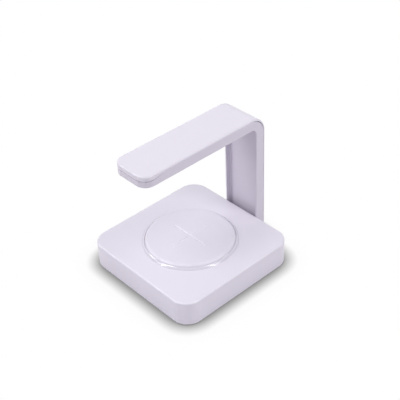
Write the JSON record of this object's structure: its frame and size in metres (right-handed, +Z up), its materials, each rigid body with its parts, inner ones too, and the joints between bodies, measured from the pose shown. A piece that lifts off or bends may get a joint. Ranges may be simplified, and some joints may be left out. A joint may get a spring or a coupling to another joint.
{
  "type": "uv sterilizer charger",
  "caption": "Square wireless charging base with a raised round pad and a fixed L-shaped lamp arm that stands behind it and reaches over the pad.",
  "frame": {"origin": "centre of the underside of the anti-slip mat, on the surface that the part stands on", "axes": "+Z up; +Y from the pad towards the column; +X to the right, seen from the front"},
  "size_m": [0.1, 0.1086, 0.1017],
  "materials": {
    "housing_white": "satin moulded plastic",
    "pad_white": "satin moulded plastic with a sunk mark",
    "ring_gloss": "polished plastic",
    "mat_rubber": "matt silicone",
    "inner_plastic": "matt moulded plastic",
    "screw_steel": "zinc-plated steel",
    "inlet_steel": "bright drawn steel",
    "ferrite": "pressed ferrite",
    "copper_wire": "enamelled copper",
    "board_green": "solder mask",
    "chip_black": "moulded resin",
    "capacitor_tan": "ceramic body",
    "ribbon_white": "flat cable jacket",
    "lamp_board_white": "white solder mask",
    "diode_yellow": "ceramic package with a clear lens",
    "window_clear": "clear cover, slightly blue"
  },
  "bodies": {
    "charger": {"base_top_cover": "housing_white", "base_bottom_cover": "housing_white", "anti_slip_mat": "mat_rubber", "base_screws": "screw_steel", "charging_pad": "pad_white", "pad_ring": "ring_gloss", "coil_carrier": "inner_plastic", "ferrite_sheet": "ferrite", "charging_coil": "copper_wire", "coil_leads": "copper_wire", "main_board": "board_green", "board_screws": "screw_steel", "control_chip": "chip_black", "power_inductor": "ferrite", "tuning_capacitor_1": "capacitor_tan", "tuning_capacitor_2": "capacitor_tan", "tuning_capacitor_3": "capacitor_tan", "tuning_capacitor_4": "capacitor_tan", "usb_inlet_shell": "inlet_steel", "usb_inlet_tongue": "chip_black", "tact_switch": "inner_plastic", "lamp_socket": "inner_plastic", "lamp_plug": "inner_plastic", "lamp_ribbon": "ribbon_white", "arm_outer_shell": "housing_white", "arm_inner_frame": "housing_white", "arm_mount_block": "housing_white", "arm_nut_plate": "inlet_steel", "arm_screws": "screw_steel", "uv_board": "lamp_board_white", "uv_led_1": "diode_yellow", "uv_led_2": "diode_yellow", "uv_led_3": "diode_yellow", "uv_led_4": "diode_yellow", "lamp_window": "window_clear"},
    "button": {"power_button": "housing_white", "switch_plunger": "chip_black"}
  },
  "joints": [
    {"name": "power_button_press", "type": "slide", "parent": "charger", "child": "button", "axis": [0, -1, 0], "range_m": [0, 0.0006], "stiffness_N_per_m": 600}
  ]
}
